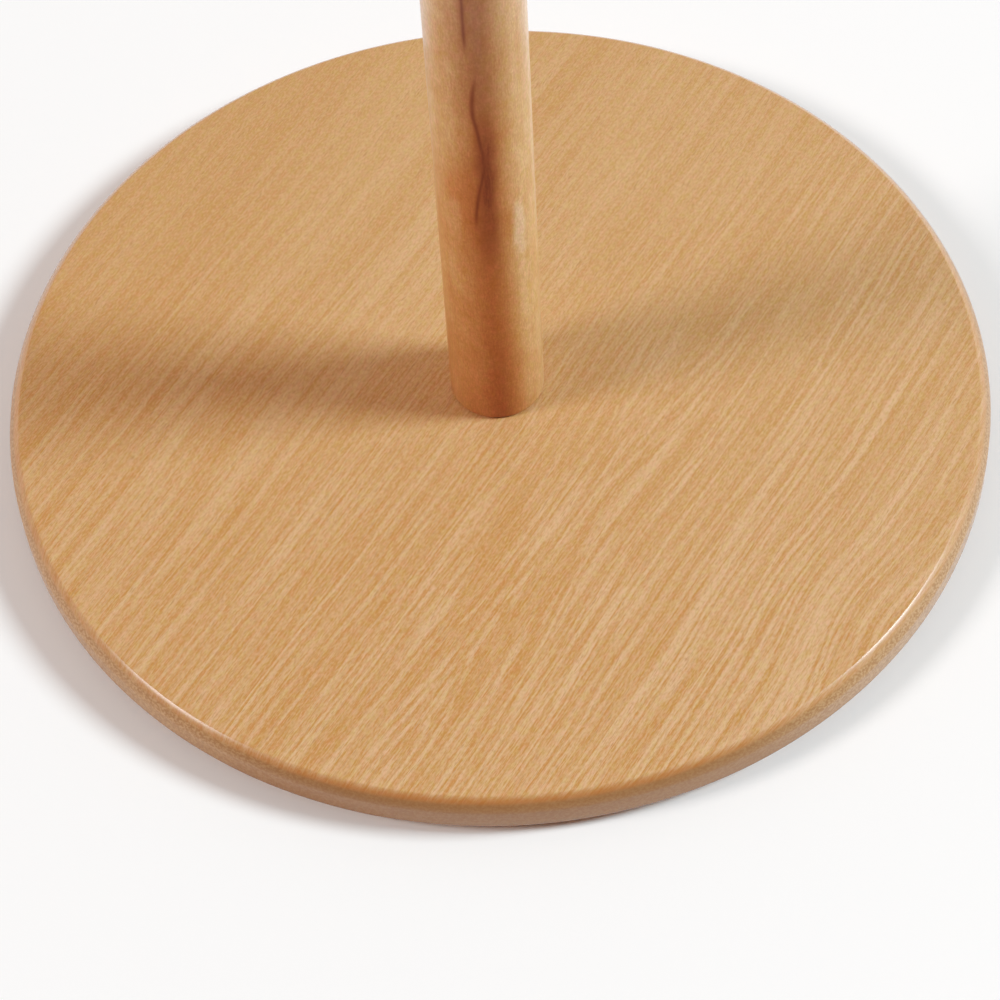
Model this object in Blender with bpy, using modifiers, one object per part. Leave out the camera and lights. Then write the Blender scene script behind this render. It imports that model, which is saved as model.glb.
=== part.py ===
"""A wooden mug tree: a thin round base board, a plain dowel post, six pegs in three pairs, and a ball knob.

The post stands on the base, pulled down by a flat-headed furniture bolt that runs up through the base
into a threaded insert in the post's foot. Each peg is glued into a slanting socket in the post, and the
knob sits on a loose dowel in the post's top. Four rubber feet under the base carry the weight.

Frame: metres, +Z up the post, the origin on the table under the middle of the base, -Y the front.
"""

import math

import bpy

# Driving dimensions
BASE_DIAMETER = 0.200
BASE_THICKNESS = 0.008
POST_DIAMETER = 0.019
POST_LENGTH = 0.320
PEG_REACH = 0.070  # from the post's surface to the tip, along the peg
PEG_RISE = math.radians(45)
LOWEST_PEG_HEIGHT = 0.155  # above the table, where the peg's axis meets the post's surface
TIER_SPACING = 0.065
TIER_TURN = math.radians(60)
KNOB_DIAMETER = 0.030
FOOT_DIAMETER = 0.020
FOOT_THICKNESS = 0.002

# Fit: touching pieces keep this gap
GAP = 0.0003

# Base board
BASE_RADIUS = BASE_DIAMETER / 2
BASE_UNDERSIDE = FOOT_THICKNESS + GAP
BASE_TOP = BASE_UNDERSIDE + BASE_THICKNESS
BASE_TOP_ROUND = 0.0022
BASE_BOTTOM_ROUND = 0.0012

# Feet
FOOT_CIRCLE_RADIUS = 0.084
FOOT_ROUND = 0.0004

# Furniture bolt, M6 with a wide flat head, and its washer
BOLT_RADIUS = 0.003
BOLT_ROOT_RADIUS = 0.0025
BOLT_PITCH = 0.001
BOLT_LENGTH = 0.020
BOLT_PLAIN_LENGTH = 0.006
BOLT_HEAD_RADIUS = 0.0075
BOLT_HEAD_HEIGHT = 0.002
BOLT_HEAD_ROUND = 0.0006
HEX_KEY_ACROSS_FLATS = 0.004
HEX_KEY_DEPTH = 0.0035
CUTTER_EXCESS = 0.002  # how far a cutter sticks out of the face that it opens
WASHER_RADIUS = 0.0085
WASHER_BORE_RADIUS = 0.0033
WASHER_THICKNESS = 0.001
BOLT_HOLE_RADIUS = 0.0035
RECESS_RADIUS = 0.0092
RECESS_DEPTH = BOLT_HEAD_HEIGHT + WASHER_THICKNESS + 2 * GAP

# Threaded insert in the post's foot
INSERT_LENGTH = 0.014
INSERT_RADIUS = 0.005
INSERT_ROOT_RADIUS = 0.0043
INSERT_PITCH = 0.002
INSERT_SET_BACK = 0.0005
BOLT_END_POCKET = 0.004

# Post
POST_RADIUS = POST_DIAMETER / 2
POST_FOOT = BASE_TOP + GAP
POST_TOP = POST_FOOT + POST_LENGTH
POST_CHAMFER = 0.0004

# Pegs
PEG_ROOT_RADIUS = 0.004
PEG_END_RADIUS = 0.005
PEG_SOCKET_DEPTH = 0.007
PEG_STRAIGHT = 0.006  # as far as the post's surface reaches along the peg's upper side, and a little more
PEG_TIP_LENGTH = 0.006
PEG_ROOT_CHAMFER = 0.0005

# Knob and its dowel
KNOB_RADIUS = KNOB_DIAMETER / 2
KNOB_FLAT_RADIUS = 0.008
DOWEL_RADIUS = 0.004
DOWEL_DEPTH = 0.011  # in the post, and the same in the knob
DOWEL_CHAMFER = 0.0007

# How finely the round shapes are divided, and the angle between faces that counts as a corner
BASE_SEGMENTS = 96
POST_SEGMENTS = 64
PEG_SEGMENTS = 24
KNOB_SEGMENTS = 40
SMALL_SEGMENTS = 24
LARGE_ROUND_STEPS = 5
SMALL_ROUND_STEPS = 3
KNOB_STEPS = 18
CORNER_ANGLE = math.radians(30)

TIERS = (
    ("low", ("right", "left")),
    ("middle", ("back_right", "front_left")),
    ("top", ("back_left", "front_right")),
)
FEET = ("back_right", "back_left", "front_left", "front_right")


def empty_scene():
    for obj in list(bpy.data.objects):
        bpy.data.objects.remove(obj, do_unlink=True)


def new_collection(name):
    collection = bpy.data.collections.new(name)
    bpy.context.scene.collection.children.link(collection)
    return collection


def linear(red, green, blue):
    """The linear colour of an sRGB colour given in 0 to 255."""

    def channel(value):
        share = value / 255
        return share / 12.92 if share <= 0.04045 else ((share + 0.055) / 1.055) ** 2.4

    return (channel(red), channel(green), channel(blue), 1.0)


def new_material(name, colour, roughness, metallic=0.0):
    material = bpy.data.materials.new(name)
    material.use_nodes = True
    shader = material.node_tree.nodes["Principled BSDF"]
    shader.inputs["Base Color"].default_value = colour
    shader.inputs["Roughness"].default_value = roughness
    shader.inputs["Metallic"].default_value = metallic
    return material


def arc(centre_r, centre_z, radius, start_deg, end_deg, steps):
    """Points (r, z) on an arc of a turned outline, both ends included; 0 degrees points outwards, 90 up."""
    angles = [math.radians(start_deg + (end_deg - start_deg) * i / steps) for i in range(steps + 1)]
    return [(centre_r + radius * math.cos(a), centre_z + radius * math.sin(a)) for a in angles]


def ridges(top_z, bottom_z, crest_radius, root_radius, pitch):
    """Points (r, z) of a thread's crests and roots, from the top down, as rings."""
    turns = int((top_z - bottom_z) / pitch)
    points = []
    for turn in range(turns):
        points.append((root_radius, top_z - turn * pitch))
        points.append((crest_radius, top_z - (turn + 0.5) * pitch))
    points.append((root_radius, top_z - turns * pitch))
    return points


def link(obj, collection, parent=None):
    collection.objects.link(obj)
    obj.parent = parent
    return obj


def turned(name, outline, segments, is_ring=False):
    """A profile to turn about its own Z. The outline (r, z) runs down the outer side; a ring's closes."""
    mesh = bpy.data.meshes.new(name)
    last = len(outline) - 1
    edges = [(i, i + 1) for i in range(last)] + ([(last, 0)] if is_ring else [])
    mesh.from_pydata([(r, 0.0, z) for r, z in outline], edges, [])
    obj = bpy.data.objects.new(name, mesh)
    screw = obj.modifiers.new("Turn", "SCREW")
    screw.axis = "Z"
    screw.angle = math.tau
    screw.steps = segments
    screw.render_steps = segments
    screw.use_merge_vertices = True
    screw.merge_threshold = 0.00001
    return obj


def add_part(obj, material, parts, parent):
    """Puts a turned piece in the model: its turning is applied and its round faces are shaded smooth."""
    obj.data.materials.append(material)
    link(obj, parts, parent)
    profile = obj.data
    mesh = bpy.data.meshes.new_from_object(obj.evaluated_get(bpy.context.evaluated_depsgraph_get()))
    obj.modifiers.clear()
    obj.data = mesh
    bpy.data.meshes.remove(profile)
    mesh.name = obj.name
    mesh.shade_smooth()
    mesh.set_sharp_from_angle(angle=CORNER_ANGLE)
    return obj


def cylinder_cutter(name, radius, low_z, high_z, vertices, cutters, parent=None):
    """A hidden cylinder about its parent's Z, from low_z to high_z, that a Boolean takes away."""
    bpy.ops.mesh.primitive_cylinder_add(vertices=vertices, radius=radius, depth=high_z - low_z)
    cutter = bpy.context.active_object
    cutter.name = name
    cutter.location = (0.0, 0.0, (low_z + high_z) / 2)
    for collection in list(cutter.users_collection):
        collection.objects.unlink(cutter)
    link(cutter, cutters, parent)
    cutter.hide_render = True
    cutter.display_type = "WIRE"
    return cutter


def cut(obj, cutter):
    boolean = obj.modifiers.new("Cut " + cutter.name, "BOOLEAN")
    boolean.operation = "DIFFERENCE"
    boolean.solver = "EXACT"
    boolean.object = cutter


def make_base(material, parts, root):
    """The round board, with its edges rounded over and a stepped hole for the bolt."""
    top_centre = (BASE_RADIUS - BASE_TOP_ROUND, BASE_THICKNESS - BASE_TOP_ROUND)
    bottom_centre = (BASE_RADIUS - BASE_BOTTOM_ROUND, BASE_BOTTOM_ROUND)
    outline = (
        [(BOLT_HOLE_RADIUS, BASE_THICKNESS)]
        + arc(*top_centre, BASE_TOP_ROUND, 90, 0, LARGE_ROUND_STEPS)
        + arc(*bottom_centre, BASE_BOTTOM_ROUND, 0, -90, SMALL_ROUND_STEPS)
        + [(RECESS_RADIUS, 0.0), (RECESS_RADIUS, RECESS_DEPTH), (BOLT_HOLE_RADIUS, RECESS_DEPTH)]
    )
    base = turned("base_board", outline, BASE_SEGMENTS, is_ring=True)
    base.location = (0.0, 0.0, BASE_UNDERSIDE)
    add_part(base, material, parts, root)


def make_feet(material, parts, root):
    """Four round rubber feet stuck under the base."""
    outline = (
        [(0.0, FOOT_THICKNESS)]
        + [(FOOT_DIAMETER / 2, FOOT_THICKNESS)]
        + arc(FOOT_DIAMETER / 2 - FOOT_ROUND, FOOT_ROUND, FOOT_ROUND, 0, -90, SMALL_ROUND_STEPS)
        + [(0.0, 0.0)]
    )
    for index, place in enumerate(FEET):
        angle = math.radians(45 + 90 * index)
        foot = turned("foot_" + place, outline, SMALL_SEGMENTS)
        foot.location = (FOOT_CIRCLE_RADIUS * math.cos(angle), FOOT_CIRCLE_RADIUS * math.sin(angle), 0.0)
        add_part(foot, material, parts, root)


def make_bolt(material, parts, cutters, root):
    """The flat-headed bolt, head down, its head flush with the base's underside, with a hex socket in it."""
    under_head = BOLT_HEAD_HEIGHT
    tip = under_head + BOLT_LENGTH
    outline = (
        [(0.0, tip)]
        + ridges(tip, under_head + BOLT_PLAIN_LENGTH, BOLT_RADIUS, BOLT_ROOT_RADIUS, BOLT_PITCH)
        + [(BOLT_RADIUS, under_head + BOLT_PLAIN_LENGTH - BOLT_PITCH / 2)]
        + [(BOLT_RADIUS, under_head), (BOLT_HEAD_RADIUS, under_head)]
        + arc(BOLT_HEAD_RADIUS - BOLT_HEAD_ROUND, BOLT_HEAD_ROUND, BOLT_HEAD_ROUND, 0, -90, SMALL_ROUND_STEPS)
        + [(0.0, 0.0)]
    )
    bolt = turned("base_bolt", outline, SMALL_SEGMENTS)
    bolt.location = (0.0, 0.0, BASE_UNDERSIDE)
    add_part(bolt, material, parts, root)
    hex_radius = HEX_KEY_ACROSS_FLATS / 2 / math.cos(math.radians(30))
    hex_key = cylinder_cutter("hex_socket_cutter", hex_radius, -CUTTER_EXCESS, HEX_KEY_DEPTH, 6, cutters, bolt)
    cut(bolt, hex_key)


def make_washer(material, parts, root):
    """The flat washer between the bolt's head and the roof of the recess."""
    outline = [
        (WASHER_BORE_RADIUS, WASHER_THICKNESS),
        (WASHER_RADIUS, WASHER_THICKNESS),
        (WASHER_RADIUS, 0.0),
        (WASHER_BORE_RADIUS, 0.0),
    ]
    washer = turned("base_washer", outline, SMALL_SEGMENTS, is_ring=True)
    washer.location = (0.0, 0.0, BASE_UNDERSIDE + BOLT_HEAD_HEIGHT + GAP)
    add_part(washer, material, parts, root)


def make_insert(material, parts, root):
    """The threaded insert that is screwed into the post's foot and takes the bolt."""
    bore_radius = BOLT_RADIUS + GAP
    outline = (
        [(bore_radius, INSERT_LENGTH)]
        + ridges(INSERT_LENGTH, 0.0, INSERT_RADIUS, INSERT_ROOT_RADIUS, INSERT_PITCH)
        + [(bore_radius, 0.0)]
    )
    insert = turned("post_insert", outline, SMALL_SEGMENTS, is_ring=True)
    insert.location = (0.0, 0.0, POST_FOOT + INSERT_SET_BACK)
    add_part(insert, material, parts, root)


def peg_frame(name, height, azimuth, cutters, root):
    """An empty where a peg's axis meets the post's surface, its Z pointing out along the peg."""
    frame = bpy.data.objects.new(name, None)
    frame.location = (POST_RADIUS * math.cos(azimuth), POST_RADIUS * math.sin(azimuth), height)
    frame.rotation_euler = (0.0, math.pi / 2 - PEG_RISE, azimuth)
    return link(frame, cutters, root)


def peg_outline():
    """A peg's outline about its own axis: a chamfered root, a slow swell, and a rounded tip."""
    swell_end = PEG_REACH - PEG_TIP_LENGTH
    quarter = arc(0.0, 0.0, 1.0, 90, 0, LARGE_ROUND_STEPS)
    tip = [(PEG_END_RADIUS * out, swell_end + PEG_TIP_LENGTH * up) for out, up in quarter[1:]]
    return (
        [(0.0, PEG_REACH)]
        + tip
        + [(PEG_ROOT_RADIUS, PEG_STRAIGHT), (PEG_ROOT_RADIUS, -PEG_SOCKET_DEPTH + PEG_ROOT_CHAMFER)]
        + [(PEG_ROOT_RADIUS - PEG_ROOT_CHAMFER, -PEG_SOCKET_DEPTH), (0.0, -PEG_SOCKET_DEPTH)]
    )


def make_post(material, parts, root):
    """The dowel post, bored at the foot for the insert and the bolt's end, and at the top for the dowel."""
    insert_bore = INSERT_RADIUS + GAP
    insert_bore_end = INSERT_SET_BACK + INSERT_LENGTH + GAP
    pocket_radius = BOLT_RADIUS + GAP
    dowel_bore = DOWEL_RADIUS + GAP
    outline = [
        (0.0, POST_LENGTH - DOWEL_DEPTH - GAP),
        (dowel_bore, POST_LENGTH - DOWEL_DEPTH - GAP),
        (dowel_bore, POST_LENGTH),
        (POST_RADIUS - POST_CHAMFER, POST_LENGTH),
        (POST_RADIUS, POST_LENGTH - POST_CHAMFER),
        (POST_RADIUS, POST_CHAMFER),
        (POST_RADIUS - POST_CHAMFER, 0.0),
        (insert_bore, 0.0),
        (insert_bore, insert_bore_end),
        (pocket_radius, insert_bore_end),
        (pocket_radius, insert_bore_end + BOLT_END_POCKET),
        (0.0, insert_bore_end + BOLT_END_POCKET),
    ]
    post = turned("post", outline, POST_SEGMENTS)
    post.location = (0.0, 0.0, POST_FOOT)
    return add_part(post, material, parts, root)


def make_pegs(material, post, parts, cutters, root):
    """Three pairs of opposite pegs, each pair turned on from the one below, in sockets cut into the post."""
    for tier, (level, sides) in enumerate(TIERS):
        height = LOWEST_PEG_HEIGHT + tier * TIER_SPACING
        for half_turn, side in enumerate(sides):
            azimuth = tier * TIER_TURN + half_turn * math.pi
            name = f"peg_{level}_{side}"
            frame = peg_frame(name + "_frame", height, azimuth, cutters, root)
            peg = turned(name, peg_outline(), PEG_SEGMENTS)
            add_part(peg, material, parts, frame)
            cutter = cylinder_cutter(
                name + "_socket_cutter",
                PEG_ROOT_RADIUS + GAP,
                -PEG_SOCKET_DEPTH - GAP,
                PEG_SOCKET_DEPTH + 2 * PEG_ROOT_RADIUS,
                PEG_SEGMENTS,
                cutters,
                frame,
            )
            cut(post, cutter)


def make_knob(material, parts, root):
    """The ball knob, with a flat that sits on the post and a blind hole for the dowel."""
    centre = math.sqrt(KNOB_RADIUS**2 - KNOB_FLAT_RADIUS**2)
    flat_angle = -math.degrees(math.asin(centre / KNOB_RADIUS))
    ball = arc(0.0, centre, KNOB_RADIUS, 90, flat_angle, KNOB_STEPS)
    bore = DOWEL_RADIUS + GAP
    outline = (
        [(0.0, centre + KNOB_RADIUS)]
        + ball[1:]
        + [(bore, 0.0), (bore, DOWEL_DEPTH + GAP), (0.0, DOWEL_DEPTH + GAP)]
    )
    knob = turned("top_knob", outline, KNOB_SEGMENTS)
    knob.location = (0.0, 0.0, POST_TOP + GAP)
    add_part(knob, material, parts, root)


def make_knob_dowel(material, parts, root):
    """The loose dowel that joins the knob to the post."""
    length = 2 * DOWEL_DEPTH + GAP
    outline = [
        (0.0, length),
        (DOWEL_RADIUS - DOWEL_CHAMFER, length),
        (DOWEL_RADIUS, length - DOWEL_CHAMFER),
        (DOWEL_RADIUS, DOWEL_CHAMFER),
        (DOWEL_RADIUS - DOWEL_CHAMFER, 0.0),
        (0.0, 0.0),
    ]
    dowel = turned("knob_dowel", outline, SMALL_SEGMENTS)
    dowel.location = (0.0, 0.0, POST_TOP - DOWEL_DEPTH)
    add_part(dowel, material, parts, root)


def main():
    empty_scene()
    parts = new_collection("mug_tree")
    cutters = new_collection("cutters")
    root = link(bpy.data.objects.new("mug_tree_origin", None), parts)
    board_wood = new_material("board_wood", linear(205, 160, 110), 0.42)
    post_wood = new_material("post_wood", linear(190, 130, 80), 0.42)
    steel = new_material("zinc_plated_steel", linear(190, 192, 196), 0.35, metallic=1.0)
    brass = new_material("brass", linear(205, 170, 96), 0.35, metallic=1.0)
    rubber = new_material("foot_rubber", linear(58, 54, 52), 0.80)

    make_base(board_wood, parts, root)
    make_feet(rubber, parts, root)
    make_bolt(steel, parts, cutters, root)
    make_washer(steel, parts, root)
    make_insert(brass, parts, root)
    post = make_post(post_wood, parts, root)
    make_pegs(post_wood, post, parts, cutters, root)
    make_knob(post_wood, parts, root)
    make_knob_dowel(post_wood, parts, root)


main()
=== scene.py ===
"""The looks of the mug tree: fine meshes and wood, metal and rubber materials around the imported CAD."""

import math

import bmesh
import bpy
from mathutils import Matrix, Vector

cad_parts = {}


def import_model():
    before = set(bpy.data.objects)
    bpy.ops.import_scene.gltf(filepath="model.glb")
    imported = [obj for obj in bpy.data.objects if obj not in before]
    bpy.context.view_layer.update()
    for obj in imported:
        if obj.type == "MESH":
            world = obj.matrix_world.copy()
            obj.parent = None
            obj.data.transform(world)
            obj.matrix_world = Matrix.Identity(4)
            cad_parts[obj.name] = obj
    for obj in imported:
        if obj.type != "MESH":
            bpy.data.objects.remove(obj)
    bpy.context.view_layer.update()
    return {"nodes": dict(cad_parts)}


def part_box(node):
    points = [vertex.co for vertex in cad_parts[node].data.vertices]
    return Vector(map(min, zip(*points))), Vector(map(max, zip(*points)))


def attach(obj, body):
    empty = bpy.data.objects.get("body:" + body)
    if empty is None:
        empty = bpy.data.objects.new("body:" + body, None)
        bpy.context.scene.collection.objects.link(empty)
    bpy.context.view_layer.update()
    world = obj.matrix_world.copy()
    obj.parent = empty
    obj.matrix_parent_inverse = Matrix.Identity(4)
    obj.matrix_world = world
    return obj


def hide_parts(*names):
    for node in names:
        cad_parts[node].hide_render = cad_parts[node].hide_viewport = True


MM = 0.001
BODY = "root"

# The view: distances are shares of the base's radius, measured from the middle of its top face
CAMERA_PLACE = (0.0, -4.158, 5.366)
CAMERA_TARGET = (-0.010, -0.2965, 0.0)
CAMERA_ROLL = math.radians(-3.744)
CAMERA_LENS = 119.85
SENSOR_WIDTH = 36.0

# Light: the lamps' places are azimuth counter-clockwise from +X and elevation, in degrees
KEY_TINT = (0.83, 0.97, 1.0)
FILL_TINT = (0.86, 0.82, 0.78)
WORLD_TINT = (1.0, 0.88, 0.82, 1.0)
KEY_PLACE = (-4, 38)
KEY_POWER = 208.0
FILL_PLACE = (194, 38)
FILL_POWER = 120.0
LAMP_DISTANCE = 5.0
LAMP_SIZE = 1.5
BAND_LOW, BAND_HIGH = 0.08, 0.30  # between these heights over the horizon the pale backdrop fades
BAND_LIGHT = 1.3
SKY_LIGHT = 0.32
FRONT_LOW, FRONT_HIGH = -0.9, -0.1  # and between these it darkens towards the viewer
FRONT_SHARE = 0.12
TONE_POINTS = ((0.05, 0.042), (0.12, 0.122), (0.25, 0.280), (0.40, 0.4425), (0.60, 0.630))
FLOOR_RADIUS = 6.0
FLOOR_COLOUR = (1.0, 0.97, 0.98, 1.0)
CAMERA_REACH = 50.0

# The board's figure: the grain's direction in plan, counter-clockwise from +X
GRAIN_ANGLE = math.radians(56)

# The post's figure: where its pith lies, in mm from the axis, then how things change with the height over the
# board in mm. Angles are in degrees round the post from the front, and the stain's darkness runs from 0 to 1
POST_PITH = (3.0, -16.0)
STAIN_LEAN = ((0, -2.5), (30, -1.5), (46, 0.5), (70, 1.5), (84, 0), (96, 0.5), (112, 1.5))
STAIN_DARK = (
    ((0, 0.08), (12, 0.03), (38, 0.0), (46, 0.06), (53, 0.32), (60, 0.54), (64, 0.60), (69, 0.88))
    + ((76, 0.88), (83, 0.61), (88, 0.32), (96, 0.11), (104, 0.08), (115, 0.07), (160, 0.05))
)
SPLIT_PATH = (
    ((60, -13), (65.5, -10), (69, -7), (72.5, -3), (76.5, 0), (83, -3), (87, -6), (91, -9))
    + ((95, -8), (100, -4), (106, 1))
)
UPPER_SPLIT_ANGLE = -13.0

# Finishes, by the names of the shader's inputs
FILM = {"Specular IOR Level": 0.2, "Coat Weight": 0.70, "Coat Roughness": 0.22}
LACQUER = {"Specular IOR Level": 0.35, "Coat Weight": 0.45, "Coat Roughness": 0.18}
METAL = {"Metallic": 1.0}
FINE_RELIEF = 0.02  # how deep the woods' and the metals' relief is, in mm
RUBBER_RELIEF = 0.05

# How finely the turned pieces are divided
BOARD_SEGMENTS = 360
POST_SEGMENTS = 180
PEG_SEGMENTS = 72
KNOB_SEGMENTS = 128
SMALL_SEGMENTS = 72

# Shapes that the frame's boxes don't give
TOUCH = 0.3 * MM  # the gap that stands for faces that touch
RIM_ARCS = ((0.6 * MM, 90, 55), (6.2 * MM, 55, 28), (1.5 * MM, 28, 0))  # radius, first and last slope
BOARD_LOW_ROUND = 1.2 * MM
RECESS_MARGIN = 0.7 * MM
WASHER_OVERLAP = 5.0 * MM
POST_ROUND = 0.4 * MM
PEG_ROOT_RADIUS = 4.0 * MM
PEG_END_RADIUS = 5.0 * MM
PEG_REACH = 70.0 * MM
PEG_RISE = math.radians(45)
PEG_TIP = 6.0 * MM
PEG_STRAIGHT = 6.0 * MM
PEG_IN_SOCKET = 7.0 * MM
PEG_CHAMFER = 0.5 * MM
SOCKET_GAP = 0.08 * MM
SOCKET_OPEN = 15.0 * MM
BOLT_SHANK_SHARE = 0.4  # the shank's radius as a share of the head's
BOLT_HEAD_HEIGHT = 2.0 * MM
BOLT_PLAIN = 6.0 * MM
BOLT_PITCH = 1.0 * MM
BOLT_THREAD_DEPTH = 0.5 * MM
BOLT_INNER_ROUND = 0.3 * MM  # the head's edge towards the washer
BOLT_OUTER_ROUND = 0.6 * MM
HEX_ACROSS_FLATS = 4.0 * MM
HEX_DEPTH = 3.5 * MM
WASHER_ROUND = 0.3 * MM
FOOT_CHAMFER = 0.2 * MM
FOOT_ROUND = 0.6 * MM
FOOT_GROOVE_DEPTH = 0.15 * MM
FOOT_GROOVE = (2.2 * MM, 2.5 * MM, 3.1 * MM, 3.4 * MM)  # the groove's corners, in from the foot's edge
SHARP_ANGLE = math.radians(32)


def linear(red, green, blue):
    """The linear colour of an sRGB colour given in 0 to 255."""

    def channel(value):
        share = value / 255
        return share / 12.92 if share <= 0.04045 else ((share + 0.055) / 1.055) ** 2.4

    return (channel(red), channel(green), channel(blue), 1.0)


# ---------------------------------------------------------------------------------------------------------
# Node graphs
# ---------------------------------------------------------------------------------------------------------


class Graph:
    """A material's node graph, built value by value. A value is a number, a colour or a node's output."""

    def __init__(self, name):
        self.material = bpy.data.materials.new(name)
        self.material.use_nodes = True
        self.tree = self.material.node_tree
        self.shader = self.tree.nodes["Principled BSDF"]

    def put(self, value, socket):
        if isinstance(value, bpy.types.NodeSocket):
            self.tree.links.new(value, socket)
        else:
            socket.default_value = value

    def node(self, kind, inputs=None, **settings):
        node = self.tree.nodes.new(kind)
        for key, value in settings.items():
            setattr(node, key, value)
        for key, value in (inputs or {}).items():
            self.put(value, node.inputs[key])
        return node

    def math(self, operation, first, second=0.0):
        node = self.node("ShaderNodeMath", operation=operation)
        self.put(first, node.inputs[0])
        self.put(second, node.inputs[1])
        return node.outputs[0]

    def add(self, *values):
        total = values[0]
        for value in values[1:]:
            total = self.math("ADD", total, value)
        return total

    def times(self, *values):
        total = values[0]
        for value in values[1:]:
            total = self.math("MULTIPLY", total, value)
        return total

    def minus(self, first, second):
        return self.math("SUBTRACT", first, second)

    def over(self, first, second):
        return self.math("DIVIDE", first, second)

    def larger(self, first, second):
        return self.math("MAXIMUM", first, second)

    def smaller(self, first, second):
        return self.math("MINIMUM", first, second)

    def length(self, x, y):
        return self.math("SQRT", self.add(self.times(x, x), self.times(y, y)))

    def swing(self, share, reach):
        """A share from 0 to 1 turned into a swing about 0 that is reach wide."""
        return self.times(self.minus(share, 0.5), reach)

    def step(self, value, low, high, out_low=0.0, out_high=1.0):
        """A smooth change from out_low at low to out_high at high, level outside them."""
        node = self.node("ShaderNodeMapRange", interpolation_type="SMOOTHSTEP")
        for socket, number in zip(node.inputs, (value, low, high, out_low, out_high)):
            self.put(number, socket)
        return node.outputs[0]

    def bump_at(self, value, centre, width):
        """1 at centre, falling smoothly to 0 at width on both sides."""
        distance = self.math("ABSOLUTE", self.minus(value, centre))
        return self.step(distance, 0.0, width, 1.0, 0.0)

    def curve(self, value, points, low, high):
        """A curve through listed points (x, y), both given between low and high."""
        span = high[0] - low[0], high[1] - low[1]
        node = self.node("ShaderNodeFloatCurve")
        line = node.mapping.curves[0]
        shares = [((x - low[0]) / span[0], (y - low[1]) / span[1]) for x, y in points]
        line.points[0].location = shares[0]
        line.points[1].location = shares[-1]
        for share in shares[1:-1]:
            line.points.new(*share)
        node.mapping.update()
        self.put(self.step_linear(value, low[0], high[0], 0.0, 1.0), node.inputs["Value"])
        return self.step_linear(node.outputs[0], 0.0, 1.0, low[1], high[1])

    def step_linear(self, value, low, high, out_low, out_high):
        node = self.node("ShaderNodeMapRange", interpolation_type="LINEAR")
        for socket, number in zip(node.inputs, (value, low, high, out_low, out_high)):
            self.put(number, socket)
        return node.outputs[0]

    def vector(self, x, y, z=0.0):
        return self.node("ShaderNodeCombineXYZ", {"X": x, "Y": y, "Z": z}).outputs[0]

    def noise(self, x, y, z=0.0, detail=2.0, roughness=0.5):
        """Noise from 0 to 1 whose grains are one unit across."""
        inputs = {"Vector": self.vector(x, y, z), "Scale": 1.0, "Detail": detail, "Roughness": roughness}
        return self.node("ShaderNodeTexNoise", inputs).outputs[0]

    def upright_noise(self, place, per_mm, up_per_mm, detail=2.0, roughness=0.5, seed=0.0):
        """Noise with its grains per mm in plan and upwards, as in wood whose grain runs up."""
        x, y, z = place
        height = self.add(self.times(z, up_per_mm), seed)
        return self.noise(self.times(x, per_mm), self.times(y, per_mm), height, detail, roughness)

    def mix(self, share, first, second, blend="MIX"):
        node = self.node("ShaderNodeMix", data_type="RGBA", blend_type=blend)
        self.put(share, node.inputs[0])
        self.put(first, node.inputs[6])
        self.put(second, node.inputs[7])
        return node.outputs[2]

    def tint(self, share, colour, red, green, blue):
        """The colour with its channels multiplied by red, green and blue, as far as share says."""
        return self.mix(share, colour, (red, green, blue, 1.0), "MULTIPLY")

    def mix_value(self, share, first, second):
        return self.add(first, self.times(share, self.minus(second, first)))

    def place(self):
        """The point's place on its object, as x, y and z in millimetres."""
        coordinates = self.node("ShaderNodeTexCoord").outputs["Object"]
        scaled = self.node("ShaderNodeVectorMath", operation="SCALE")
        self.put(coordinates, scaled.inputs[0])
        self.put(1 / MM, scaled.inputs["Scale"])
        parts = self.node("ShaderNodeSeparateXYZ", {"Vector": scaled.outputs[0]})
        return parts.outputs[0], parts.outputs[1], parts.outputs[2]

    def finish(self, colour, roughness, relief, relief_mm, settings=None):
        """Joins the values to the shader. The relief runs from 0 to 1 and is relief_mm deep."""
        self.put(colour, self.shader.inputs["Base Color"])
        self.put(roughness, self.shader.inputs["Roughness"])
        inputs = {"Height": relief, "Distance": relief_mm * MM, "Strength": 1.0}
        self.put(self.node("ShaderNodeBump", inputs).outputs[0], self.shader.inputs["Normal"])
        for name, value in (settings or {}).items():
            self.shader.inputs[name].default_value = value
        return self.material


# ---------------------------------------------------------------------------------------------------------
# Materials
# ---------------------------------------------------------------------------------------------------------


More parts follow.
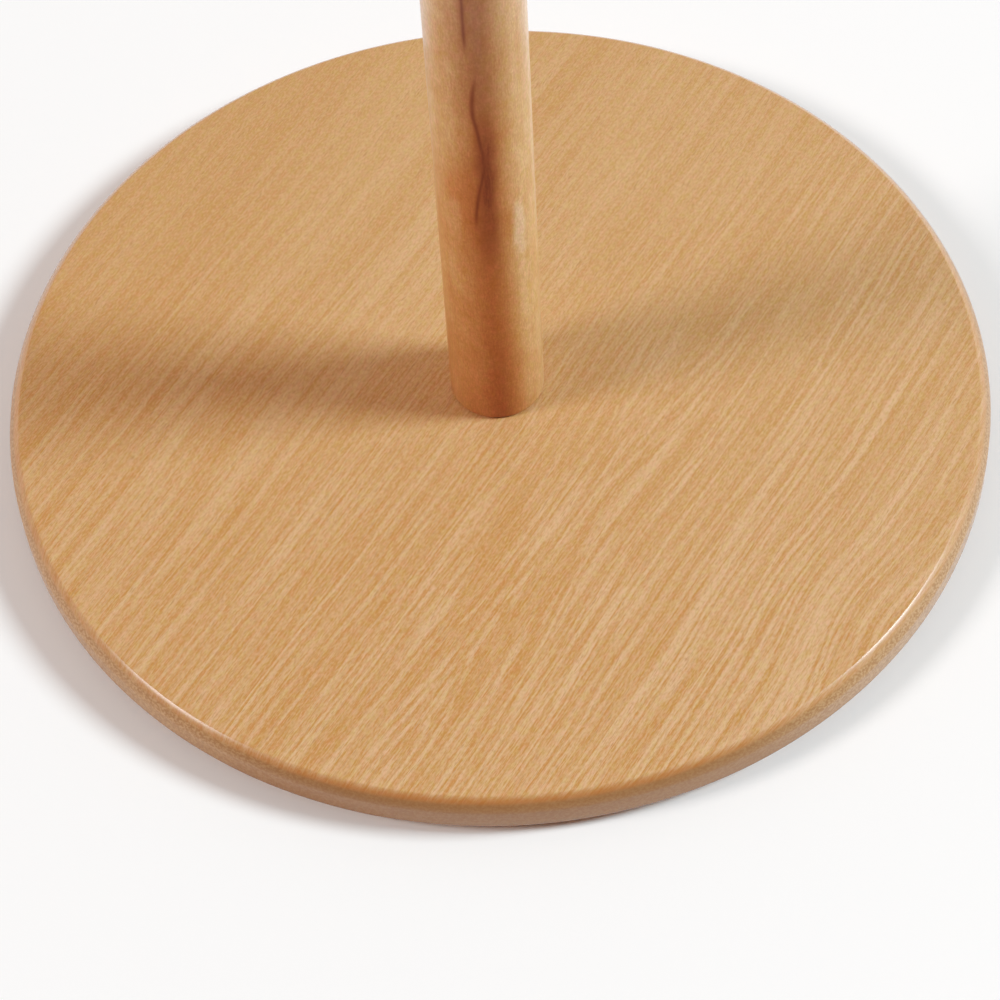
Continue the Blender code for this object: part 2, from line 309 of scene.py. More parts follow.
def board_streaks(g, across, along):
    """The board's figure: how strong it is at each place, its cream streaks, and their fibres and dashes."""

    def figure(sideways, per_mm, along_per_mm, seed, detail=2.0, roughness=0.5):
        """Noise stretched along the grain, with its grains per mm to the side and along."""
        return g.noise(g.times(sideways, per_mm), g.times(along, along_per_mm), seed, detail, roughness)

    # Slow waves bend the grain
    sway = g.swing(figure(across, 0.013, 0.010, 3.1, 1.0), 5.0)
    wobble = g.swing(figure(across, 0.10, 0.030, 7.7), 1.6)
    kink = g.times(g.bump_at(along, -14.0, 24.0), g.step(across, 60.0, 96.0), 2.6)
    bent = g.add(across, sway, wobble, kink)

    # Flat-sawn rings: they lie wide apart and close in flame tips beside the heart line, and run straight
    # away from it
    from_heart = g.minus(bent, 30.0)
    heart_depth = g.add(1.0, g.times(g.bump_at(along, -22.0, 75.0), 8.0))
    far_right = g.larger(g.minus(from_heart, 50.0), 0.0)
    ring = g.minus(g.length(from_heart, heart_depth), g.times(far_right, 0.35))
    half = g.step(from_heart, -8.0, 8.0, 0.0, 3.0)
    slow = g.swing(figure(ring, 0.13, 0.008, half), 3.2)
    quick = g.swing(figure(ring, 0.42, 0.018, g.add(half, 7.3)), 2.6)
    wave = g.math("SINE", g.times(g.add(g.over(ring, 2.15), slow, quick), math.tau))

    # Fibres: short dashes along the grain, which also fray the rings' edges
    fibre = figure(across, 2.5, 0.060, 2.2, 3.0, 0.6)
    dash = figure(across, 4.2, 0.50, 6.6, 1.0)
    fray = g.add(g.swing(fibre, 3.4), g.swing(dash, 1.3))
    fade = g.step(figure(bent, 0.33, 0.014, 1.9), 0.30, 0.62, 0.15, 1.0)
    hair = g.step(figure(bent, 1.30, 0.014, 5.9, 2.0, 0.6), 0.38, 0.64)
    bold = g.add(g.times(g.step(g.add(wave, fray), -0.9, 1.4), fade, 0.82), g.times(hair, 0.34))
    thin = g.add(figure(bent, 0.52, 0.012, 4.4, 2.0, 0.6), g.times(fray, 0.05))
    fine = g.add(g.times(g.step(thin, 0.38, 0.64), 0.95), g.times(hair, 0.55))

    # The streaks are faint at the back left and bold at the front right
    strength = g.add(0.60, g.times(across, 0.0042), g.times(along, -0.0020))
    bold_here = g.step(g.add(across, g.times(along, -0.25)), -45.0, 25.0, 0.10, 1.0)
    return strength, g.mix_value(bold_here, fine, bold), fibre, dash


def board_rim(g, colour, y, depth, from_edge, end_grain):
    """The rim: an amber lip over a greyer side with a darker lower edge. The lip's amber is partly its own
    tone and partly painted shade, which grows towards the front, where the side is painted darker as shade
    too.
    """
    lip = g.step(from_edge, 2.6, 1.3)
    # Painted shade: the lip is painted darker towards the front, which the lamps hardly reach
    front = g.step(y, -76.0, -97.0)
    colour = g.mix(g.times(lip, g.mix_value(front, 0.30, 0.74)), colour, linear(174, 108, 61))
    side = g.times(g.step(depth, 0.2, 1.3), g.step(from_edge, 1.6, 0.7))
    side_tone = g.mix(g.step(end_grain, 0.40, 0.62), linear(161, 115, 75), linear(192, 149, 107))
    # Painted shade: the side's darker colour at the front
    front_shade_tone = g.mix(g.step(depth, 1.8, 3.2), linear(143, 106, 74), linear(139, 93, 49))
    side_tone = g.mix(g.times(front, 0.75), side_tone, front_shade_tone)
    colour = g.mix(g.times(side, 0.86), colour, side_tone)
    low_edge = g.times(side, g.step(depth, 6.2, 7.4))
    return g.mix(g.times(low_edge, 0.6), colour, linear(128, 86, 58))


def board_wood(top, radius):
    """Satin film over the board: orange-tan ground with granular cream streaks, carried on over the rim."""
    g = Graph("board_wood")
    x, y, z = g.place()
    out = g.length(x, y)
    depth = g.larger(g.minus(top / MM, z), 0.0)
    near_rim = g.step(out, 0.90 * radius / MM, 0.985 * radius / MM)
    wrap = g.add(1.0, g.times(near_rim, g.over(depth, g.larger(out, 1.0))))
    x = g.times(x, wrap)
    y = g.times(y, wrap)
    sine, cosine = math.sin(GRAIN_ANGLE), math.cos(GRAIN_ANGLE)
    across = g.minus(g.times(x, sine), g.times(y, cosine))
    along = g.add(g.times(x, cosine), g.times(y, sine))
    strength, streak, fibre, dash = board_streaks(g, across, along)

    # Ground: orange-tan, more amber and darker towards the front left, partly the film's own tone and partly
    # painted shade where the lamps' light falls off
    tone = g.noise(g.times(across, 0.05), g.times(along, 0.012), 4.0)
    colour = g.mix(g.step(tone, 0.3, 0.7), linear(198, 143, 94), linear(204, 153, 104))
    colour = g.mix(g.times(strength, 0.55), colour, linear(195, 139, 87))
    amber_and_shade = g.step(g.add(g.times(x, 0.7), y), -70.0, 40.0, 1.0, 0.0)
    colour = g.mix(g.times(amber_and_shade, 0.80), colour, linear(195, 131, 74))

    # Cream streaks and flecks, then a fine grit, a faint mottle and dark pores
    flecks = g.step(g.add(g.times(fibre, 0.45), g.times(dash, 0.55)), 0.36, 0.64)
    flecks = g.times(g.add(0.78, g.times(strength, 0.5)), flecks, 0.50)
    pale = g.add(g.times(strength, streak, 0.94), flecks, -0.12)
    pale = g.smaller(g.larger(pale, 0.0), 1.0)
    colour = g.mix(pale, colour, linear(223, 178, 137))
    grit = g.noise(g.times(across, 2.7), g.times(along, 1.3), 8.8, 1.0)
    colour = g.mix(g.times(g.step(grit, 0.45, 0.70), 0.34), colour, linear(225, 173, 126))
    colour = g.mix(g.times(g.step(grit, 0.55, 0.30), 0.34), colour, linear(191, 140, 86))
    mottle = g.noise(g.times(across, 1.0), g.times(along, 0.6), 11.3, 1.0)
    colour = g.tint(g.step(mottle, 0.50, 0.72), colour, 1.03, 0.97, 1.03)
    colour = g.tint(g.step(mottle, 0.50, 0.28), colour, 0.98, 1.03, 0.92)
    pores = g.step(g.add(g.times(dash, 0.55), g.times(fibre, 0.45)), 0.52, 0.70)
    colour = g.mix(g.times(pores, 0.55), colour, linear(166, 108, 58))

    end_grain = g.noise(g.times(x, 1.5), g.times(y, 1.5), g.times(z, 0.25), 3.0, 0.6)
    colour = board_rim(g, colour, y, depth, g.minus(radius / MM, out), end_grain)

    relief = g.add(g.times(fibre, 0.5), g.times(streak, 0.25), 0.2)
    roughness = g.add(0.40, g.times(pale, 0.10), g.times(pores, 0.05))
    return g.finish(colour, roughness, relief, FINE_RELIEF, FILM)


def dowel_wood(name, seed, pith_x, pith_y):
    """Satin dowel wood. The stock's pith lies off the piece's axis, at pith_x and pith_y in mm."""
    g = Graph(name)
    place = g.place()
    out = g.length(g.minus(place[0], pith_x), g.minus(place[1], pith_y))
    cloud = g.upright_noise(place, 0.16, 0.035, 3.0, 0.55, seed)
    height = g.times(place[2], 0.010)
    rings = g.noise(g.add(g.times(out, 0.85), g.times(cloud, 1.2)), height, seed, 2.0, 0.6)
    fibre = g.upright_noise(place, 2.8, 0.30, 2.0, 0.6, seed)
    dash = g.upright_noise(place, 5.0, 0.8, 1.0, 0.5, seed)
    colour = g.mix(g.step(rings, 0.36, 0.64), linear(198, 146, 94), linear(214, 168, 118))
    colour = g.mix(g.times(g.step(cloud, 0.42, 0.75), 0.60), colour, linear(184, 118, 66))
    pores = g.step(g.add(g.times(dash, 0.5), g.times(fibre, 0.5)), 0.50, 0.72)
    colour = g.mix(g.times(pores, 0.30), colour, linear(148, 90, 48))
    relief = g.add(g.times(fibre, 0.6), g.times(rings, 0.4))
    roughness = g.add(0.38, g.times(fibre, 0.12))
    return g.finish(colour, roughness, relief, FINE_RELIEF, LACQUER)


def post_ground(g, height, angle, cloud, rings):
    """The post's ground: pale on the right and at the back, orange on the left, redder at the foot, with a
    painted sheen on both edges and a painted highlight down the right edge.
    """
    orange = g.times(g.step(angle, -35.0, 55.0, 1.0, 0.0), g.step(angle, -150.0, -80.0, 0.3, 1.0))
    orange = g.times(orange, g.step(height, 66.0, 86.0, 1.0, 0.12))
    ground = g.mix(g.step(height, 40.0, 104.0), linear(218, 174, 125), linear(206, 160, 113))
    colour = g.mix(orange, ground, linear(200, 143, 95))
    redder = g.times(g.step(height, 0.0, 36.0, 0.45, 0.0), g.bump_at(angle, 10.0, 70.0))
    colour = g.mix(redder, colour, linear(196, 122, 68))
    # Painted sheen: both edges, as seen from the front, are painted paler and cooler higher up, for a
    # reflection of the pale surroundings
    edges = g.add(g.step(angle, -42.0, -84.0), g.step(angle, 46.0, 78.0))
    colour = g.mix(g.times(edges, g.step(height, 44.0, 84.0), 0.50), colour, linear(214, 180, 146))
    left_foot = g.times(g.bump_at(angle, -84.0, 26.0), g.step(height, 66.0, 34.0))
    colour = g.tint(left_foot, colour, 0.95, 0.88, 0.70)
    # Painted highlight: a bright line down the right edge
    painted_right_highlight = g.times(g.step(angle, 66.0, 78.0), g.step(height, 40.0, 64.0))
    colour = g.mix(g.times(painted_right_highlight, 0.55), colour, linear(238, 208, 170))
    colour = g.mix(g.times(g.step(cloud, 0.35, 0.70), 0.30), colour, linear(182, 112, 60))
    colour = g.mix(g.times(g.step(cloud, 0.50, 0.25), 0.28), colour, linear(216, 172, 126))
    return g.mix(g.times(g.step(rings, 0.50, 0.68), 0.16), colour, linear(178, 116, 66))


def post_patches(g, colour, height, angle, cloud, fibre):
    """Orange and pale patches beside the stain, with ragged edges."""
    ragged = g.add(g.swing(cloud, 2.2), g.swing(fibre, 1.0))

    def patch(at_angle, at_height, wide, high):
        """1 at the middle of an oval patch, 0 outside it."""
        sideways = g.over(g.minus(angle, at_angle), wide)
        upwards = g.over(g.minus(height, at_height), high)
        off = g.add(g.times(sideways, sideways), g.times(upwards, upwards), ragged)
        return g.step(off, 0.0, 1.2, 1.0, 0.0)

    colour = g.mix(g.times(patch(-28.0, 66.0, 26.0, 12.0), 0.62), colour, linear(185, 106, 56))
    colour = g.mix(g.times(patch(-43.0, 60.0, 17.0, 7.0), 0.70), colour, linear(202, 148, 103))
    colour = g.mix(g.times(patch(39.0, 55.0, 12.0, 12.0), 0.85), colour, linear(221, 184, 146))
    return g.mix(g.times(patch(24.0, 59.0, 10.0, 8.0), 0.45), colour, linear(184, 114, 60))


def post_stain(g, colour, height, angle, z, cloud, fibre):
    """The heart stain: it wanders a little to and fro as it climbs, and holds a long dark core."""
    wander = g.swing(g.noise(0.0, 0.0, g.times(z, 0.055)), 10.0)
    lean = g.curve(height, STAIN_LEAN, (0, -9), (112, 9))
    off_middle = g.add(angle, lean, wander, g.swing(cloud, 16.0))
    width = g.step(height, 14.0, 44.0, 52.0, 48.0)
    stain = g.times(g.bump_at(off_middle, 0.0, width), g.step(height, 106.0, 200.0, 1.0, 0.55))
    tone = g.mix(g.step(height, 40.0, 52.0), linear(180, 110, 61), linear(171, 101, 54))
    tone = g.mix(g.step(height, 82.0, 98.0), tone, linear(163, 104, 64))
    colour = g.mix(g.times(stain, 0.95), colour, tone)
    dark = g.curve(height, STAIN_DARK, (0, 0), (160, 1))
    colour = g.mix(g.times(g.bump_at(off_middle, 2.0, 30.0), dark, 0.30), colour, linear(140, 68, 26))
    core = g.times(g.bump_at(off_middle, 4.5, 18.0), dark, g.step(fibre, 0.30, 0.60, 0.80, 1.0))
    return g.mix(core, colour, linear(108, 38, 11))


def post_mottle(g, colour, place, fibre, dash):
    """Blotches, a fine mottle and grit, which lighten and darken the ground and the stain alike."""
    blotch = g.upright_noise(place, 0.45, 0.30, 3.0, 0.6)
    colour = g.tint(g.step(blotch, 0.50, 0.72), colour, 1.06, 1.12, 1.18)
    colour = g.tint(g.step(blotch, 0.50, 0.28), colour, 0.96, 0.88, 0.79)
    mottle = g.upright_noise(place, 0.9, 0.6, 1.0)
    colour = g.tint(g.step(mottle, 0.50, 0.70), colour, 1.05, 0.95, 1.03)
    colour = g.tint(g.step(mottle, 0.50, 0.30), colour, 0.97, 1.03, 0.88)
    grit = g.upright_noise(place, 2.4, 1.6, 1.0)
    colour = g.tint(g.step(grit, 0.50, 0.70), colour, 1.08, 1.10, 1.12)
    colour = g.tint(g.step(grit, 0.50, 0.30), colour, 0.93, 0.91, 0.89)
    speckle = g.step(g.add(g.times(dash, 0.6), g.times(fibre, 0.4)), 0.36, 0.64)
    return g.tint(speckle, colour, 1.03, 1.05, 1.06)


def post_split(g, colour, height, angle, place):
    """The split, a soft dark line with a reddish halo, in a winding lower part and a straight upper one."""
    beside_low = g.math("ABSOLUTE", g.minus(angle, g.curve(height, SPLIT_PATH, (60, -20), (106, 20))))
    beside_top = g.math("ABSOLUTE", g.minus(angle, UPPER_SPLIT_ANGLE))
    in_low = g.times(g.step(height, 57.0, 64.0), g.step(height, 103.0, 94.0))
    in_top = g.times(g.step(height, 105.0, 111.0), g.step(height, 178.0, 140.0))

    def near_split(low_width, top_width):
        """1 on the split, falling smoothly to 0 at the given number of degrees to either side."""
        low = g.times(g.step(g.over(beside_low, low_width), 0.0, 1.0, 1.0, 0.0), in_low)
        top = g.times(g.step(g.over(beside_top, top_width), 0.0, 1.0, 1.0, 0.0), in_top)
        return g.larger(low, top)

    colour = g.mix(g.times(near_split(6.5, 9.0), 0.46), colour, linear(140, 70, 30))
    x, y, z = place
    ragged = g.swing(g.noise(x, y, g.times(z, 0.30)), 3.0)
    half_width = g.add(3.3, ragged, g.times(g.bump_at(height, 92.0, 9.0), 1.6))
    return g.mix(g.times(near_split(half_width, half_width), 0.78), colour, linear(112, 46, 14))


def post_wood(foot):
    """The post's wood: smooth and cloudy, with a red-brown heart stain up its front and a fine split in it.

    A point is placed by its height over the board, in mm, and its angle round the post from the front, in
    degrees.
    """
    g = Graph("post_wood")
    place = g.place()
    x, y, z = place
    height = g.minus(z, foot / MM)
    angle = g.times(g.math("ARCTAN2", x, g.times(y, -1.0)), 180 / math.pi)
    fibre = g.upright_noise(place, 2.8, 0.34, 2.0, 0.6)
    dash = g.upright_noise(place, 5.0, 0.9, 1.0)
    cloud = g.upright_noise(place, 0.22, 0.085, 3.0, 0.55)
    out = g.length(g.minus(x, POST_PITH[0]), g.minus(y, POST_PITH[1]))
    rings = g.noise(g.add(g.times(out, 0.70), g.times(cloud, 1.5)), 0.0, g.times(z, 0.010), 2.0, 0.55)

    colour = post_ground(g, height, angle, cloud, rings)
    colour = post_patches(g, colour, height, angle, cloud, fibre)
    colour = post_stain(g, colour, height, angle, z, cloud, fibre)
    colour = post_mottle(g, colour, place, fibre, dash)
    colour = post_split(g, colour, height, angle, place)
    pores = g.step(g.add(g.times(dash, 0.5), g.times(fibre, 0.5)), 0.62, 0.36)
    colour = g.mix(g.times(pores, 0.22), colour, linear(146, 84, 42))
    relief = g.add(g.times(fibre, 0.6), g.times(dash, 0.2))
    roughness = g.add(0.40, g.times(fibre, 0.12))
    return g.finish(colour, roughness, relief, FINE_RELIEF, LACQUER)


def plated_steel():
    g = Graph("zinc_plated_steel")
    x, y, z = g.place()
    out = g.length(x, y)
    turning = g.noise(g.times(out, 9.0), 0.0, g.times(z, 9.0), 2.0)
    bloom = g.noise(g.times(x, 0.6), g.times(y, 0.6), g.times(z, 0.6), 3.0)
    colour = g.mix(g.step(bloom, 0.35, 0.70), linear(196, 198, 201), linear(172, 173, 174))
    roughness = g.add(0.22, g.times(turning, 0.14), g.times(bloom, 0.12))
    return g.finish(colour, roughness, turning, FINE_RELIEF, METAL)


def brass():
    g = Graph("brass")
    x, y, z = g.place()
    bloom = g.noise(g.times(x, 0.7), g.times(y, 0.7), g.times(z, 0.7), 3.0)
    colour = g.mix(bloom, linear(214, 178, 98), linear(176, 134, 66))
    roughness = g.add(0.26, g.times(bloom, 0.2))
    return g.finish(colour, roughness, bloom, FINE_RELIEF, METAL)


def rubber():
    g = Graph("rubber")
    x, y, z = g.place()
    grain = g.noise(g.times(x, 4.0), g.times(y, 4.0), g.times(z, 4.0), 3.0)
    dust = g.noise(g.times(x, 0.4), g.times(y, 0.4), g.times(z, 0.4), 3.0)
    colour = g.mix(g.step(dust, 0.4, 0.7), linear(66, 60, 56), linear(84, 78, 73))
    roughness = g.add(0.62, g.times(grain, 0.2))
    return g.finish(colour, roughness, grain, RUBBER_RELIEF)


# ---------------------------------------------------------------------------------------------------------
# Meshes
# ---------------------------------------------------------------------------------------------------------


def arc(centre_r, centre_z, radius, start_deg, end_deg, steps):
    """Points (r, z) on an arc of a turned outline, both ends included; 0 degrees points outwards, 90 up."""
    angles = [math.radians(start_deg + (end_deg - start_deg) * i / steps) for i in range(steps + 1)]
    return [(centre_r + radius * math.cos(a), centre_z + radius * math.sin(a)) for a in angles]


def joined_arcs(start_r, start_z, arcs, steps):
    """Points (r, z) on arcs that follow on without a corner, each given as (radius, start_deg, end_deg)."""
    points = [(start_r, start_z)]
    for radius, start_deg, end_deg in arcs:
        last_r, last_z = points[-1]
        start = math.radians(start_deg)
        centre_r = last_r - radius * math.cos(start)
        centre_z = last_z - radius * math.sin(start)
        points += arc(centre_r, centre_z, radius, start_deg, end_deg, steps)[1:]
    return points


def turned(name, outline, segments, material, is_ring=False):
    """A piece turned about Z. Its outline (r, z) runs down the outer side; a ring's closes on itself."""
    mesh = bpy.data.meshes.new(name)
    build = bmesh.new()
    points = [build.verts.new((r, 0.0, z)) for r, z in outline]
    edges = [build.edges.new(pair) for pair in zip(points, points[1:])]
    if is_ring:
        edges.append(build.edges.new((points[-1], points[0])))
    around = {"axis": (0, 0, 1), "cent": (0, 0, 0), "angle": math.tau}
    bmesh.ops.spin(build, geom=points + edges, steps=segments, use_merge=True, **around)
    bmesh.ops.remove_doubles(build, verts=build.verts, dist=0.000001)
    bmesh.ops.recalc_face_normals(build, faces=build.faces)
    build.to_mesh(mesh)
    build.free()
    shade(mesh)
    mesh.materials.append(material)
    obj = bpy.data.objects.new(name, mesh)
    bpy.context.scene.collection.objects.link(obj)
    return obj


def shade(mesh):
    """Smooth, but for edges sharper than SHARP_ANGLE."""
    mesh.shade_smooth()
    mesh.set_sharp_from_angle(angle=SHARP_ANGLE)


def cut_away(obj, cutters):
    """Cuts the cutters out of obj for good, and removes them."""
    for cutter in cutters:
        boolean = obj.modifiers.new("cut", "BOOLEAN")
        boolean.operation = "DIFFERENCE"
        boolean.solver = "EXACT"
        boolean.object = cutter
    uncut = obj.data
    mesh = bpy.data.meshes.new_from_object(obj.evaluated_get(bpy.context.evaluated_depsgraph_get()))
    obj.modifiers.clear()
    obj.data = mesh
    bpy.data.meshes.remove(uncut)
    shade(mesh)
    for cutter in cutters:
        bpy.data.objects.remove(cutter, do_unlink=True)


def stand_in(obj, node):
    """obj rides on the frame in the place of a CAD node."""
    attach(obj, BODY)
    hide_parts(node)


def radius_of(node):
    low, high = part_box(node)
    return (high.x - low.x) / 2


def make_board(material):
    """The round board, rounded over at the top, with the bolt's hole and its recess underneath."""
    low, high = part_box("base_board")
    radius = high.x
    bore = radius_of("base_washer") - WASHER_OVERLAP
    recess = radius_of("base_washer") + RECESS_MARGIN
    recess_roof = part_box("base_washer")[1].z + TOUCH
    rim = joined_arcs(0.0, high.z, RIM_ARCS, 8)
    rim_width = rim[-1][0]
    outline = (
        [(bore, high.z), (0.5 * radius, high.z)]
        + [(radius - rim_width + r, z) for r, z in rim]
        + arc(radius - BOARD_LOW_ROUND, low.z + BOARD_LOW_ROUND, BOARD_LOW_ROUND, 0, -90, 6)
        + [(0.5 * radius, low.z), (recess, low.z), (recess, recess_roof), (bore, recess_roof)]
    )
    board = turned("wood_base_board", outline, BOARD_SEGMENTS, material, is_ring=True)
    stand_in(board, "base_board")


def peg_place(node):
    """Where a peg's axis leaves the post, with Z out along the peg. The peg's top gives its height."""
    low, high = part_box(node)
    middle = (low + high) / 2
    azimuth = math.atan2(middle.y, middle.x)
    across = PEG_END_RADIUS * math.cos(PEG_RISE)
    along = PEG_TIP * math.sin(PEG_RISE)
    height = high.z - (PEG_REACH - PEG_TIP) * math.sin(PEG_RISE) - math.hypot(across, along)
    post_radius = radius_of("post")
    place = Matrix.Translation((post_radius * math.cos(azimuth), post_radius * math.sin(azimuth), height))
    return place @ Matrix.Rotation(azimuth, 4, "Z") @ Matrix.Rotation(math.pi / 2 - PEG_RISE, 4, "Y")


def make_post(material, pegs):
    """The post, bored at both ends and with a slanting socket for each peg."""
    low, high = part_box("post")
    radius = radius_of("post")
    insert_bore = radius_of("post_insert") + TOUCH
    insert_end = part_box("post_insert")[1].z + TOUCH
    dowel_bore = radius_of("knob_dowel") + TOUCH
    dowel_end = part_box("knob_dowel")[0].z - TOUCH
    bolt_bore = radius_of("base_bolt") * BOLT_SHANK_SHARE + TOUCH
    bolt_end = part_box("base_bolt")[1].z + TOUCH
    outline = (
        [(0.0, dowel_end), (dowel_bore, dowel_end), (dowel_bore, high.z)]
        + arc(radius - POST_ROUND, high.z - POST_ROUND, POST_ROUND, 90, 0, 4)
        + arc(radius - POST_ROUND, low.z + POST_ROUND, POST_ROUND, 0, -90, 4)
        + [(insert_bore, low.z), (insert_bore, insert_end), (bolt_bore, insert_end), (bolt_bore, bolt_end)]
        + [(0.0, bolt_end)]
    )
    post = turned("wood_post", outline, POST_SEGMENTS, material)
    wall = PEG_ROOT_RADIUS + SOCKET_GAP
    bottom = -PEG_IN_SOCKET - TOUCH
    drill = [(0.0, SOCKET_OPEN), (wall, SOCKET_OPEN), (wall, bottom), (0.0, bottom)]
    sockets = []
    for node in pegs:
        socket = turned("socket_of_" + node, drill, PEG_SEGMENTS, material)
        socket.matrix_world = peg_place(node)
        sockets.append(socket)
    cut_away(post, sockets)
    stand_in(post, "post")


def make_peg(node, material):
    """A peg: chamfered root in the post, a slow swell outwards, and a rounded tip."""
    swell_end = PEG_REACH - PEG_TIP
    tip = [(PEG_END_RADIUS * r, swell_end + PEG_TIP * z) for r, z in arc(0.0, 0.0, 1.0, 90, 0, 20)]
    tip[0] = (0.0, PEG_REACH)
    thinner = PEG_ROOT_RADIUS - PEG_END_RADIUS
    down = PEG_STRAIGHT - swell_end
    shares = (0.25, 0.5, 0.75, 1.0)
    swell = [(PEG_END_RADIUS + thinner * share, swell_end + down * share) for share in shares]
    outline = (
        tip
        + swell
        + [(PEG_ROOT_RADIUS, PEG_CHAMFER - PEG_IN_SOCKET)]
        + [(PEG_ROOT_RADIUS - PEG_CHAMFER, -PEG_IN_SOCKET), (0.0, -PEG_IN_SOCKET)]
    )
    peg = turned("wood_" + node, outline, PEG_SEGMENTS, material)
    peg.matrix_world = peg_place(node)
    stand_in(peg, node)


def make_knob(material):
    """The ball knob, flat where it sits on the post and bored for its dowel."""
    low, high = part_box("top_knob")
    radius = radius_of("top_knob")
    centre = high.z - radius
    flat = math.degrees(math.asin((low.z - centre) / radius))
    bore = radius_of("knob_dowel") + TOUCH
    bore_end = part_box("knob_dowel")[1].z + TOUCH
    outline = arc(0.0, centre, radius, 90, flat, 60) + [(bore, low.z), (bore, bore_end), (0.0, bore_end)]
    outline[0] = (0.0, high.z)
    knob = turned("wood_top_knob", outline, KNOB_SEGMENTS, material)
    stand_in(knob, "top_knob")


def make_bolt(material):
    """The furniture bolt, head down, with a thread on its upper part and a hex socket in its head."""
    low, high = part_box("base_bolt")
    head = radius_of("base_bolt")
    crest = head * BOLT_SHANK_SHARE
    root = crest - BOLT_THREAD_DEPTH
    head_top = low.z + BOLT_HEAD_HEIGHT
    thread_start = head_top + BOLT_PLAIN
    turns = round((high.z - thread_start) / BOLT_PITCH)
    thread = []
    for turn in range(turns):
        top = high.z - turn * BOLT_PITCH
        thread += [(root, top), (root, top - 0.10 * BOLT_PITCH), (crest, top - 0.45 * BOLT_PITCH)]
        thread += [(crest, top - 0.55 * BOLT_PITCH), (root, top - 0.90 * BOLT_PITCH)]
    outline = (
        [(0.0, high.z)]
        + thread
        + [(crest, thread_start - BOLT_THREAD_DEPTH), (crest, head_top)]
        + arc(head - BOLT_INNER_ROUND, head_top - BOLT_INNER_ROUND, BOLT_INNER_ROUND, 90, 0, 4)
        + arc(head - BOLT_OUTER_ROUND, low.z + BOLT_OUTER_ROUND, BOLT_OUTER_ROUND, 0, -90, 6)
        + [(0.0, low.z)]
    )
    bolt = turned("steel_base_bolt", outline, SMALL_SEGMENTS, material)
    corner = HEX_ACROSS_FLATS / math.sqrt(3)
    inside, outside = low.z + HEX_DEPTH, low.z - HEX_DEPTH
    key = [(0.0, inside), (corner, inside), (corner, outside), (0.0, outside)]
    cut_away(bolt, [turned("hex_key", key, 6, material)])
    stand_in(bolt, "base_bolt")


def make_washer(material):
    """The washer, with the soft edge of a stamped one below and a sharp one above."""
    low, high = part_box("base_washer")
    radius = radius_of("base_washer")
    bore = radius_of("base_bolt") * BOLT_SHANK_SHARE + TOUCH
    outline = (
        [(bore, high.z), (radius, high.z)]
        + arc(radius - WASHER_ROUND, low.z + WASHER_ROUND, WASHER_ROUND, 0, -90, 5)
        + arc(bore + WASHER_ROUND, low.z + WASHER_ROUND, WASHER_ROUND, -90, -180, 5)
    )
    washer = turned("steel_base_washer", outline, SMALL_SEGMENTS, material, is_ring=True)
    stand_in(washer, "base_washer")


def make_foot(node, material):
    """A rubber foot: a disc with a rounded lower edge and a shallow groove moulded in its underside."""
    low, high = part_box(node)
    radius = radius_of(node)
    middle = (low + high) / 2
    thick = high.z - low.z
    groove = zip(FOOT_GROOVE, (0.0, FOOT_GROOVE_DEPTH, FOOT_GROOVE_DEPTH, 0.0))
    outline = (
        [(0.0, thick), (radius - FOOT_CHAMFER, thick), (radius, thick - FOOT_CHAMFER)]
        + arc(radius - FOOT_ROUND, FOOT_ROUND, FOOT_ROUND, 0, -90, 8)
        + [(radius - inwards, z) for inwards, z in groove]
        + [(0.0, 0.0)]
    )
    foot = turned("rubber_" + node, outline, SMALL_SEGMENTS, material)
    foot.location = (middle.x, middle.y, low.z)
    stand_in(foot, node)


# ---------------------------------------------------------------------------------------------------------
# Stage, light and camera
# ---------------------------------------------------------------------------------------------------------


def make_floor():
    """A plain pale floor, a wide disc."""
    mesh = bpy.data.meshes.new("floor")
    build = bmesh.new()
    bmesh.ops.create_circle(build, cap_ends=True, segments=96, radius=FLOOR_RADIUS)
    build.to_mesh(mesh)
    build.free()
    floor = bpy.data.objects.new("floor", mesh)
    bpy.context.scene.collection.objects.link(floor)
    material = bpy.data.materials.new("floor")
    material.use_nodes = True
    shader = material.node_tree.nodes["Principled BSDF"]
    shader.inputs["Base Color"].default_value = FLOOR_COLOUR
    shader.inputs["Roughness"].default_value = 0.9
    mesh.materials.append(material)


def make_lamp(name, place, power, tint, target):
    """A round soft lamp that shines on the target from a place given as azimuth and elevation."""
    data = bpy.data.lights.new(name, "AREA")
    data.shape = "DISK"
    data.size = LAMP_SIZE
    data.energy = power
    data.color = tint
    lamp = bpy.data.objects.new(name, data)
    bpy.context.scene.collection.objects.link(lamp)
    azimuth, elevation = (math.radians(angle) for angle in place)
    level = math.cos(elevation)
    away = Vector((level * math.cos(azimuth), level * math.sin(azimuth), math.sin(elevation)))
    lamp.location = target + LAMP_DISTANCE * away
    lamp.rotation_euler = away.to_track_quat("Z", "Y").to_euler()


def make_world():
    """A dim studio with a pale band of backdrop round the horizon, darker on the camera's side."""
    world = bpy.data.worlds.new("studio")
    bpy.context.scene.world = world
    world.use_nodes = True
    tree = world.node_tree
    direction = tree.nodes.new("ShaderNodeTexCoord").outputs["Generated"]
    axes = tree.nodes.new("ShaderNodeSeparateXYZ")
    tree.links.new(direction, axes.inputs[0])
    light = tree.nodes.new("ShaderNodeMath")
    light.operation = "MULTIPLY"
    band = (axes.outputs[2], (BAND_LOW, BAND_HIGH, BAND_LIGHT, SKY_LIGHT))
    front = (axes.outputs[1], (FRONT_LOW, FRONT_HIGH, FRONT_SHARE, 1.0))
    for factor, (axis, numbers) in zip(light.inputs, (band, front)):
        step = tree.nodes.new("ShaderNodeMapRange")
        step.interpolation_type = "SMOOTHSTEP"
        for socket, number in zip(list(step.inputs)[1:], numbers):
            socket.default_value = number
        tree.links.new(axis, step.inputs[0])
        tree.links.new(step.outputs[0], factor)
    tree.links.new(light.outputs[0], tree.nodes["Background"].inputs["Strength"])
    tree.nodes["Background"].inputs["Color"].default_value = WORLD_TINT


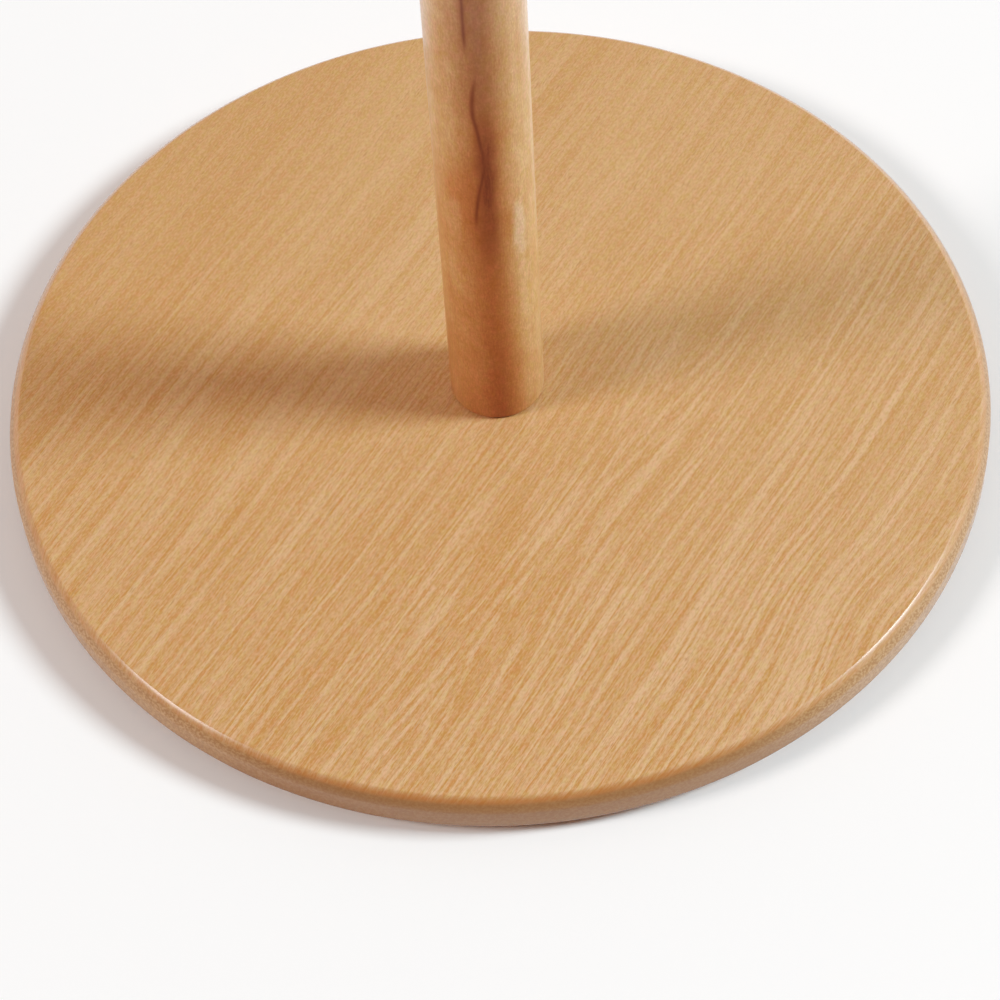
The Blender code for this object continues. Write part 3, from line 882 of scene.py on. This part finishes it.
def make_tone_curve():
    """A camera's usual tone curve: a little contrast in the darks, and lights that roll off."""
    view = bpy.context.scene.view_settings
    view.view_transform = "Standard"
    view.use_curve_mapping = True
    mapping = view.curve_mapping
    line = mapping.curves[3]
    line.points[0].location = (0.0, 0.0)
    line.points[1].location = (1.0, 1.0)
    for light, shown in TONE_POINTS:
        line.points.new(light, shown)
    mapping.update()


def make_camera(top, radius):
    """The camera, high in front of the board, whose top and radius set the scale of the view."""
    data = bpy.data.cameras.new("camera")
    data.lens = CAMERA_LENS
    data.sensor_width = SENSOR_WIDTH
    camera = bpy.data.objects.new("camera", data)
    bpy.context.scene.collection.objects.link(camera)
    middle = Vector((0.0, 0.0, top))
    place = middle + radius * Vector(CAMERA_PLACE)
    aim = middle + radius * Vector(CAMERA_TARGET)
    look = (aim - place).to_track_quat("-Z", "Y").to_matrix().to_4x4()
    camera.matrix_world = Matrix.Translation(place) @ look @ Matrix.Rotation(CAMERA_ROLL, 4, "Z")
    data.clip_end = CAMERA_REACH
    bpy.context.scene.camera = camera


def main():
    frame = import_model()
    board_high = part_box("base_board")[1]
    top, radius = board_high.z, board_high.x
    make_board(board_wood(top, radius))
    pegs = sorted(name for name in frame["nodes"] if name.startswith("peg_"))
    make_post(post_wood(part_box("post")[0].z), pegs)
    for index, node in enumerate(pegs):
        turn = 2.4 * index
        wood = dowel_wood(node + "_wood", 3.7 * (index + 1), 11.0 * math.cos(turn), 11.0 * math.sin(turn))
        make_peg(node, wood)
    make_knob(dowel_wood("knob_wood", 41.0, 6.0, 22.0))
    frame["nodes"]["knob_dowel"].data.materials[0] = dowel_wood("joining_dowel_wood", 57.0, 9.0, 4.0)
    frame["nodes"]["post_insert"].data.materials[0] = brass()
    steel = plated_steel()
    make_bolt(steel)
    make_washer(steel)
    foot_rubber = rubber()
    for node in sorted(name for name in frame["nodes"] if name.startswith("foot_")):
        make_foot(node, foot_rubber)

    make_floor()
    make_world()
    middle = Vector((0.0, 0.0, top))
    make_lamp("key_right", KEY_PLACE, KEY_POWER, KEY_TINT, middle)
    make_lamp("fill_left", FILL_PLACE, FILL_POWER, FILL_TINT, middle)
    make_tone_curve()
    make_camera(top, radius)


main()
